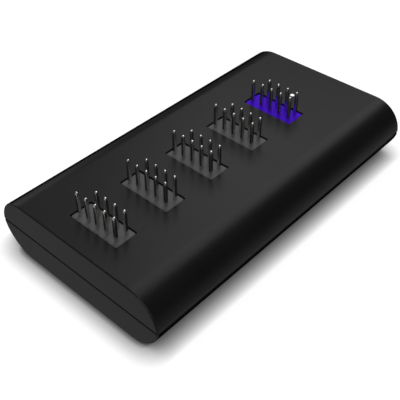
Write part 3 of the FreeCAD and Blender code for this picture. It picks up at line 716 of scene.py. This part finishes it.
def add_colour_mix(tree, share, first, second):
    mix = tree.nodes.new("ShaderNodeMix")
    mix.data_type = "RGBA"
    tree.links.new(share, mix.inputs["Factor"])
    tree.links.new(first, mix.inputs["A"])
    tree.links.new(second, mix.inputs["B"])
    return mix.outputs["Result"]


def make_moulded_grain():
    """Spark-eroded mould grain: a fine relief, a slow drift of colour and a change of gloss."""
    group, given, made, place = new_group(
        "moulded_grain",
        [
            ("Dark", "NodeSocketColor", (0.02, 0.02, 0.02, 1)),
            ("Light", "NodeSocketColor", (0.03, 0.03, 0.03, 1)),
            ("Grain", "NodeSocketFloat", 5000.0),
            ("Roughness", "NodeSocketFloat", 0.5),
            ("Spread", "NodeSocketFloat", 0.05),
        ],
        [("Colour", "NodeSocketColor"), ("Roughness", "NodeSocketFloat"), ("Height", "NodeSocketFloat")],
    )
    spot = place.outputs["Object"]
    grain = add_noise(group, spot, given.outputs["Grain"], GRAIN_DETAIL)
    drift = add_noise(group, spot, DRIFT_SCALE, SOFT_DETAIL)
    swing = add_swing(group, drift, given.outputs["Spread"])
    colour = add_colour_mix(group, drift, given.outputs["Dark"], given.outputs["Light"])
    group.links.new(colour, made.inputs["Colour"])
    group.links.new(add_math(group, "ADD", given.outputs["Roughness"], swing), made.inputs["Roughness"])
    group.links.new(grain, made.inputs["Height"])
    return group


def make_plating():
    """Plated metal: draw marks along the piece and a faint dulling of the bright colour."""
    group, given, made, place = new_group(
        "plating",
        [
            ("Bright", "NodeSocketColor", (0.6, 0.6, 0.6, 1)),
            ("Dull", "NodeSocketColor", (0.4, 0.4, 0.4, 1)),
            ("Marks", "NodeSocketFloat", 4000.0),
            ("Roughness", "NodeSocketFloat", 0.2),
            ("Spread", "NodeSocketFloat", 0.1),
        ],
        [("Colour", "NodeSocketColor"), ("Roughness", "NodeSocketFloat"), ("Height", "NodeSocketFloat")],
    )
    stretch = group.nodes.new("ShaderNodeMapping")
    stretch.inputs["Scale"].default_value = MARK_STRETCH
    group.links.new(place.outputs["Object"], stretch.inputs["Vector"])
    marks = add_noise(group, stretch.outputs["Vector"], given.outputs["Marks"], SOFT_DETAIL)
    cloud = add_noise(group, place.outputs["Object"], CLOUD_SCALE, SOFT_DETAIL)
    swing = add_swing(group, marks, given.outputs["Spread"])
    colour = add_colour_mix(group, cloud, given.outputs["Bright"], given.outputs["Dull"])
    group.links.new(colour, made.inputs["Colour"])
    group.links.new(add_math(group, "ADD", given.outputs["Roughness"], swing), made.inputs["Roughness"])
    group.links.new(marks, made.inputs["Height"])
    return group


# Materials

GLOSS_FADE_REACH = 1.41
GLOSS_FADE_POWER = 16.0
LIGHT_GUIDE_GLOW = 0.35


def grey(level):
    return (level, level, level, 1)


def make_material(name, group, values, relief, metallic=0.0, specular=0.5):
    """A finish from a shared effect, its own values and a relief depth in metres."""
    material = bpy.data.materials.new(name)
    material.use_nodes = True
    tree = material.node_tree
    shader = tree.nodes["Principled BSDF"]
    shader.inputs["Metallic"].default_value = metallic
    shader.inputs["Specular IOR Level"].default_value = specular
    effect = tree.nodes.new("ShaderNodeGroup")
    effect.node_tree = group
    for socket, value in values.items():
        effect.inputs[socket].default_value = value
    bump = tree.nodes.new("ShaderNodeBump")
    bump.inputs["Distance"].default_value = relief
    tree.links.new(effect.outputs["Colour"], shader.inputs["Base Color"])
    tree.links.new(effect.outputs["Roughness"], shader.inputs["Roughness"])
    tree.links.new(effect.outputs["Height"], bump.inputs["Height"])
    tree.links.new(bump.outputs["Normal"], shader.inputs["Normal"])
    return material


def light_up(material, strength):
    """The lamp below shines through the piece."""
    shader = material.node_tree.nodes["Principled BSDF"]
    shader.inputs["Emission Color"].default_value = grey(1.0)
    shader.inputs["Emission Strength"].default_value = strength


def fade_gloss_at_edges(material):
    """A fine texture shades itself when seen along the surface, so the gloss fades there."""
    tree = material.node_tree
    gloss = tree.nodes["Principled BSDF"].inputs["Specular IOR Level"]
    slant = tree.nodes.new("ShaderNodeLayerWeight").outputs["Facing"]
    hidden = add_math(tree, "POWER", add_math(tree, "MULTIPLY", slant, GLOSS_FADE_REACH), GLOSS_FADE_POWER)
    shown = add_math(tree, "MAXIMUM", add_math(tree, "SUBTRACT", 1.0, hidden), 0.0)
    tree.links.new(add_math(tree, "MULTIPLY", shown, gloss.default_value), gloss)


moulded_grain = make_moulded_grain()
plating = make_plating()

case_plastic = make_material(
    "matte_case_black", moulded_grain,
    {"Dark": grey(0.0055), "Light": grey(0.0065), "Grain": 5200.0, "Roughness": 0.38, "Spread": 0.06},
    relief=0.004 * MM, specular=0.15,
)
fade_gloss_at_edges(case_plastic)
grey_insulator = make_material(
    "satin_insulator_grey", moulded_grain,
    {"Dark": grey(0.082), "Light": grey(0.098), "Grain": 3800.0, "Roughness": 0.46, "Spread": 0.1},
    relief=0.006 * MM, specular=0.08,
)
purple_insulator = make_material(
    "satin_insulator_purple", moulded_grain,
    {"Dark": (0.05, 0.003, 0.48, 1), "Light": (0.062, 0.004, 0.56, 1), "Grain": 3800.0, "Roughness": 0.46,
     "Spread": 0.1},
    relief=0.006 * MM, specular=0.04,
)
light_guide_resin = make_material(
    "milky_light_guide", moulded_grain,
    {"Dark": grey(0.82), "Light": grey(0.88), "Grain": 2400.0, "Roughness": 0.25, "Spread": 0.06},
    relief=0.002 * MM,
)
light_up(light_guide_resin, LIGHT_GUIDE_GLOW)
lamp_resin = make_material(
    "cast_lamp_lens", moulded_grain,
    {"Dark": (0.7, 0.69, 0.63, 1), "Light": (0.78, 0.77, 0.71, 1), "Grain": 2400.0, "Roughness": 0.3,
     "Spread": 0.06},
    relief=0.002 * MM,
)
inlet_plastic = make_material(
    "satin_inlet_black", moulded_grain,
    {"Dark": grey(0.012), "Light": grey(0.016), "Grain": 3000.0, "Roughness": 0.4, "Spread": 0.08},
    relief=0.004 * MM,
)
chip_resin = make_material(
    "moulded_chip_black", moulded_grain,
    {"Dark": grey(0.018), "Light": grey(0.028), "Grain": 4200.0, "Roughness": 0.6, "Spread": 0.08},
    relief=0.008 * MM,
)
board_laminate = make_material(
    "solder_mask_green", moulded_grain,
    {"Dark": (0.012, 0.035, 0.022, 1), "Light": (0.02, 0.055, 0.034, 1), "Grain": 1400.0, "Roughness": 0.3,
     "Spread": 0.1},
    relief=0.01 * MM,
)
fuse_polymer = make_material(
    "coated_fuse_green", moulded_grain,
    {"Dark": (0.02, 0.08, 0.04, 1), "Light": (0.04, 0.12, 0.06, 1), "Grain": 2600.0, "Roughness": 0.35,
     "Spread": 0.1},
    relief=0.006 * MM,
)
passive_ceramic = make_material(
    "fired_ceramic_brown", moulded_grain,
    {"Dark": (0.28, 0.18, 0.11, 1), "Light": (0.38, 0.27, 0.17, 1), "Grain": 6000.0, "Roughness": 0.55,
     "Spread": 0.1},
    relief=0.006 * MM,
)
pin_metal = make_material(
    "nickel_plated_pin", plating,
    {"Bright": (0.72, 0.715, 0.7, 1), "Dull": (0.6, 0.595, 0.58, 1), "Marks": 5200.0, "Roughness": 0.2,
     "Spread": 0.06},
    relief=0.002 * MM, metallic=1.0,
)
contact_metal = make_material(
    "gold_plated_contact", plating,
    {"Bright": (0.86, 0.66, 0.30, 1), "Dull": (0.72, 0.52, 0.22, 1), "Marks": 3000.0, "Roughness": 0.25,
     "Spread": 0.12},
    relief=0.002 * MM, metallic=1.0,
)
screw_steel = make_material(
    "black_zinc_screw", plating,
    {"Bright": (0.10, 0.10, 0.105, 1), "Dull": (0.06, 0.06, 0.065, 1), "Marks": 2400.0, "Roughness": 0.38,
     "Spread": 0.12},
    relief=0.004 * MM, metallic=1.0,
)
crystal_metal = make_material(
    "crystal_lid_steel", plating,
    {"Bright": (0.62, 0.62, 0.64, 1), "Dull": (0.52, 0.52, 0.54, 1), "Marks": 2400.0, "Roughness": 0.3,
     "Spread": 0.1},
    relief=0.003 * MM, metallic=1.0,
)
capacitor_metal = make_material(
    "drawn_aluminium_can", plating,
    {"Bright": (0.72, 0.72, 0.74, 1), "Dull": (0.6, 0.6, 0.62, 1), "Marks": 1800.0, "Roughness": 0.28,
     "Spread": 0.12},
    relief=0.003 * MM, metallic=1.0,
)
magnet_metal = make_material(
    "nickel_plated_magnet", plating,
    {"Bright": (0.66, 0.66, 0.67, 1), "Dull": (0.58, 0.58, 0.59, 1), "Marks": 1500.0, "Roughness": 0.16,
     "Spread": 0.08},
    relief=0.002 * MM, metallic=1.0,
)

INNER_FINISHES = {
    "circuit_board": board_laminate,
    "status_lamp": lamp_resin,
    "hub_controller_1": chip_resin,
    "hub_controller_2": chip_resin,
    "clock_crystal_1": crystal_metal,
    "clock_crystal_2": crystal_metal,
    "bulk_capacitors": capacitor_metal,
    "port_fuses": fuse_polymer,
    "chip_passives": passive_ceramic,
    "case_magnets": magnet_metal,
}


def finish_inner_parts():
    """The parts inside the case keep their CAD shapes and get their finishes."""
    for node, material in INNER_FINISHES.items():
        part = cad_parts[node]
        part.data.materials.clear()
        part.data.materials.append(material)


# Stage, lamps and camera

FLOOR_SIZE = 4.0
FLOOR_DROP = 0.02 * MM
FLOOR_COLOUR = grey(0.06)
# Painted shadow: reach and depth of each darkening painted into the floor's glow near the case
PAINTED_CONTACT_SHADOWS = ((9.0 * MM, 0.15), (4.6 * MM, 1.9), (1.2 * MM, 2.0))
# Painted reflection: a pool of light in the floor's glossy glow, bright round the case and dimmer further
# out
PAINTED_POOL_SHAPE = (0.55, 1, 0)
PAINTED_POOL_INNER = 34 * MM
PAINTED_POOL_OUTER = 100 * MM
PAINTED_POOL_LEVEL = 0.4
PAINTED_POOL_EDGE_LEVEL = 0.12
WORLD_LEVEL = 0.03
LAMPS = {
    "back_panel": {"place": (0.427, 0.167, 0.656), "size": (0.66, 0.62), "power": 3.7},
    "front_key": {"place": (-0.324, -0.324, 0.655), "size": (0.5, 0.5), "power": 2.4},
    "near_low": {"place": (-0.587, 0.0, 0.14), "size": (0.5, 0.26), "power": 1.4},
    "right_side": {"place": (-0.25, -0.5, 0.2), "size": (0.5, 0.26), "power": 0.6},
    "left_side": {"place": (0.0, 0.55, 0.24), "size": (0.5, 0.26), "power": 0.6},
}
CAMERA_PLACE = Vector((-90.106, -77.459, 103.703)) * MM
CAMERA_TURN = math.radians(-47.711)
CAMERA_DROP = math.radians(41.607)
CAMERA_LENS = 62.974


def add_painted_light_pool(tree):
    """A painted pool of light that glosses see in the floor: full round the object, less further out."""
    place = tree.nodes.new("ShaderNodeTexCoord")
    shape = tree.nodes.new("ShaderNodeVectorMath")
    shape.operation = "MULTIPLY"
    shape.inputs[1].default_value = PAINTED_POOL_SHAPE
    tree.links.new(place.outputs["Object"], shape.inputs[0])
    reach = tree.nodes.new("ShaderNodeVectorMath")
    reach.operation = "LENGTH"
    tree.links.new(shape.outputs["Vector"], reach.inputs[0])
    fall = tree.nodes.new("ShaderNodeMapRange")
    fall.inputs["From Min"].default_value = PAINTED_POOL_INNER
    fall.inputs["From Max"].default_value = PAINTED_POOL_OUTER
    fall.inputs["To Min"].default_value = PAINTED_POOL_LEVEL
    fall.inputs["To Max"].default_value = PAINTED_POOL_EDGE_LEVEL
    tree.links.new(reach.outputs["Value"], fall.inputs["Value"])
    return fall.outputs["Result"]


def lay_floor():
    """White paper whose glow carries a painted shadow where the case comes close to it, and a painted pool
    of light in glosses.
    """
    bpy.ops.object.select_all(action="DESELECT")
    bpy.ops.mesh.primitive_plane_add(size=FLOOR_SIZE, location=(0, 0, -FLOOR_DROP))
    floor = settle("floor")
    material = bpy.data.materials.new("floor_paper")
    material.use_nodes = True
    tree = material.node_tree
    paper = tree.nodes["Principled BSDF"]
    paper.inputs["Base Color"].default_value = FLOOR_COLOUR
    paper.inputs["Roughness"].default_value = 1.0
    paper.inputs["Specular IOR Level"].default_value = 0.0
    glow = tree.nodes.new("ShaderNodeEmission")
    path = tree.nodes.new("ShaderNodeLightPath")
    seen = path.outputs["Is Camera Ray"]
    # Painted shadow: ambient occlusion darkens the floor's camera glow near the case
    for reach, depth in PAINTED_CONTACT_SHADOWS:
        painted_shadow_ao = tree.nodes.new("ShaderNodeAmbientOcclusion")
        painted_shadow_ao.inputs["Distance"].default_value = reach
        open_share = add_math(tree, "POWER", painted_shadow_ao.outputs["AO"], depth)
        seen = add_math(tree, "MULTIPLY", seen, open_share)
    # Painted reflection: glossy and transmission rays see the floor at the painted pool's level
    painted_reflection = add_math(tree, "MAXIMUM", path.outputs["Is Glossy Ray"], path.outputs["Is Transmission Ray"])
    painted_reflection = add_math(tree, "MULTIPLY", painted_reflection, add_painted_light_pool(tree))
    tree.links.new(add_math(tree, "MAXIMUM", seen, painted_reflection), glow.inputs["Strength"])
    both = tree.nodes.new("ShaderNodeAddShader")
    tree.links.new(paper.outputs["BSDF"], both.inputs[0])
    tree.links.new(glow.outputs["Emission"], both.inputs[1])
    tree.links.new(both.outputs["Shader"], tree.nodes["Material Output"].inputs["Surface"])
    floor.data.materials.append(material)


def hang_lamps():
    """Soft panels round the case, and a faint even light from all sides."""
    for name, lamp in LAMPS.items():
        light = bpy.data.lights.new(name, "AREA")
        light.shape = "RECTANGLE"
        light.size, light.size_y = lamp["size"]
        light.energy = lamp["power"]
        holder = bpy.data.objects.new(name, light)
        holder.location = lamp["place"]
        holder.rotation_euler = (-Vector(lamp["place"])).to_track_quat("-Z", "Y").to_euler()
        bpy.context.scene.collection.objects.link(holder)
    world = bpy.data.worlds.new("studio")
    world.use_nodes = True
    tree = world.node_tree
    sky = tree.nodes["Background"]
    sky.inputs["Color"].default_value = grey(1.0)
    path = tree.nodes.new("ShaderNodeLightPath")
    level = add_math(tree, "MAXIMUM", path.outputs["Is Camera Ray"], WORLD_LEVEL)
    tree.links.new(level, sky.inputs["Strength"])
    bpy.context.scene.world = world


def place_camera():
    lens = bpy.data.cameras.new("camera")
    lens.lens = CAMERA_LENS
    lens.clip_start = MM
    camera = bpy.data.objects.new("camera", lens)
    camera.location = CAMERA_PLACE
    camera.rotation_euler = (math.pi / 2 - CAMERA_DROP, 0, CAMERA_TURN)
    bpy.context.scene.collection.objects.link(camera)
    bpy.context.scene.camera = camera


model_top_cover(case_plastic)
model_bottom_cover(case_plastic)
model_headers({"grey_insulator": grey_insulator, "purple_insulator": purple_insulator}, pin_metal)
model_inlet(inlet_plastic, model_contacts(contact_metal))
model_light_guide(light_guide_resin)
model_screws(screw_steel)
finish_inner_parts()
lay_floor()
hang_lamps()
place_camera()
bpy.context.scene.view_settings.view_transform = "Standard"
